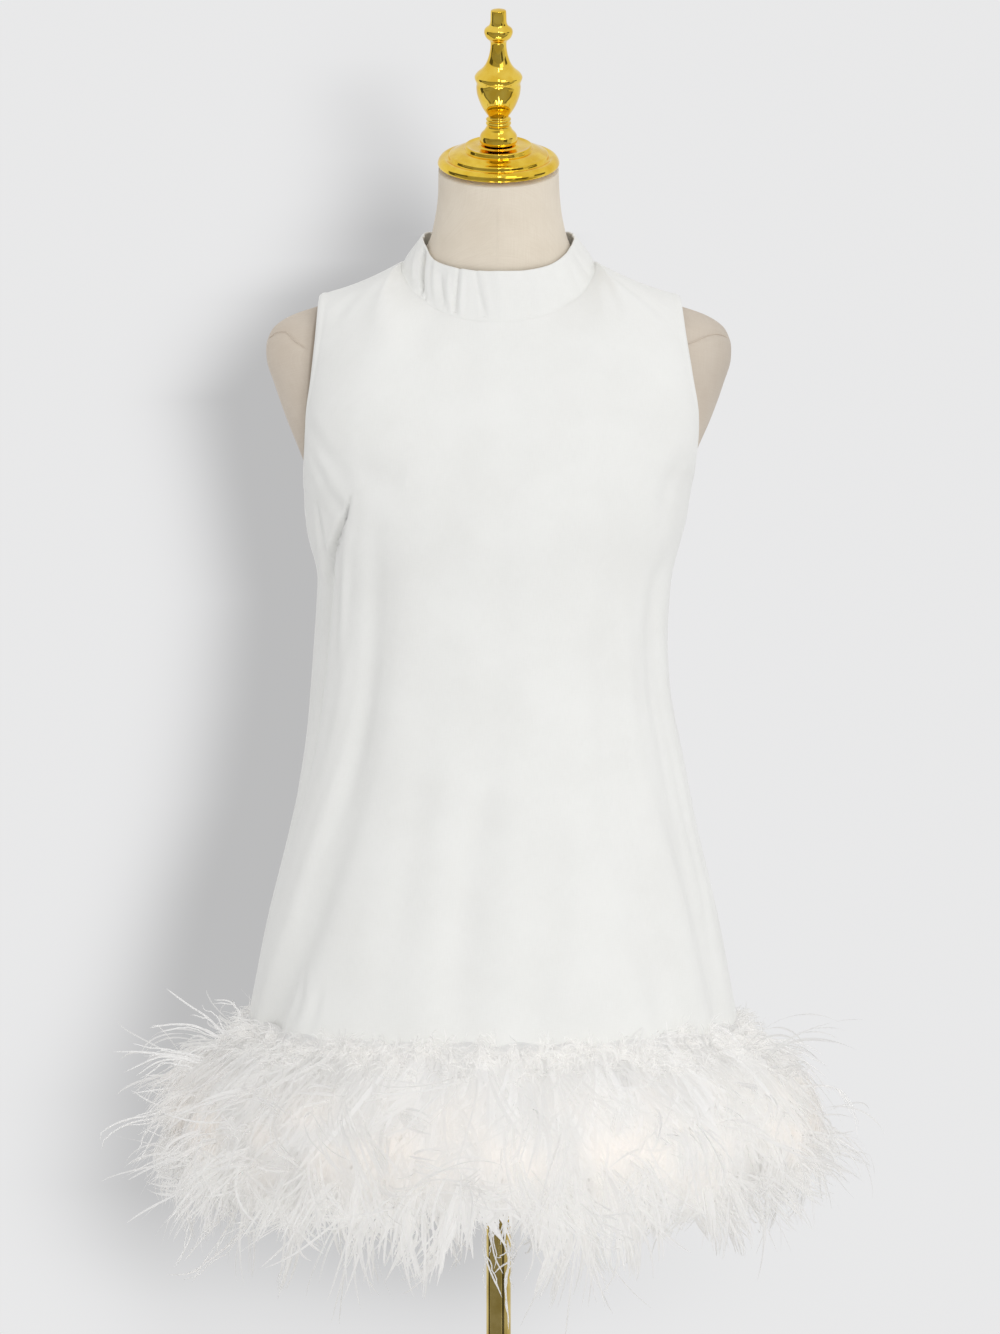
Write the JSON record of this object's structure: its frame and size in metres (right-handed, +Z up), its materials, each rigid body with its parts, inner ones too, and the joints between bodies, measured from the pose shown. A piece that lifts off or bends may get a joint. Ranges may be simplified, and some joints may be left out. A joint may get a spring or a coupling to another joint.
{
  "type": "shift dress on dress form",
  "caption": "Sleeveless A-line shift dress with a stand collar and an ostrich-feather hem trim, worn by a linen-covered limbless dress form on a gold pole stand.",
  "frame": {"origin": "on the floor under the middle of the stand's pole, at the centre of the whole object's footprint", "axes": "+Z up; the dress's front faces -Y; +X is to the right as seen from the front"},
  "size_m": [0.61, 0.504, 1.5838],
  "materials": {
    "crepe": "soft matt crepe with a faint satin sheen, warm white",
    "feather": "ostrich feather strands, off-white with a faint peach tint",
    "linen": "plain-woven natural linen cover",
    "gold": "polished gold plate",
    "stand_gold": "polished darker brass tube",
    "zip_metal": "white enamelled metal"
  },
  "bodies": {
    "figure": {"dress_front": "crepe", "dress_back_left": "crepe", "dress_back_right": "crepe", "collar_band": "crepe", "feather_trim": "feather", "zip_slider": "zip_metal", "form_body": "linen", "neck_cap": "gold", "finial": "gold", "stand_pole": "stand_gold", "stand_base": "stand_gold"},
    "zip_pull": {"zip_pull": "zip_metal"}
  },
  "joints": [
    {"name": "zip_pull_hinge", "type": "hinge", "parent": "figure", "child": "zip_pull", "pos_m": [0, 0.05518, 1.4098], "axis": [1, 0, 0], "range_deg": [0, 150]}
  ]
}
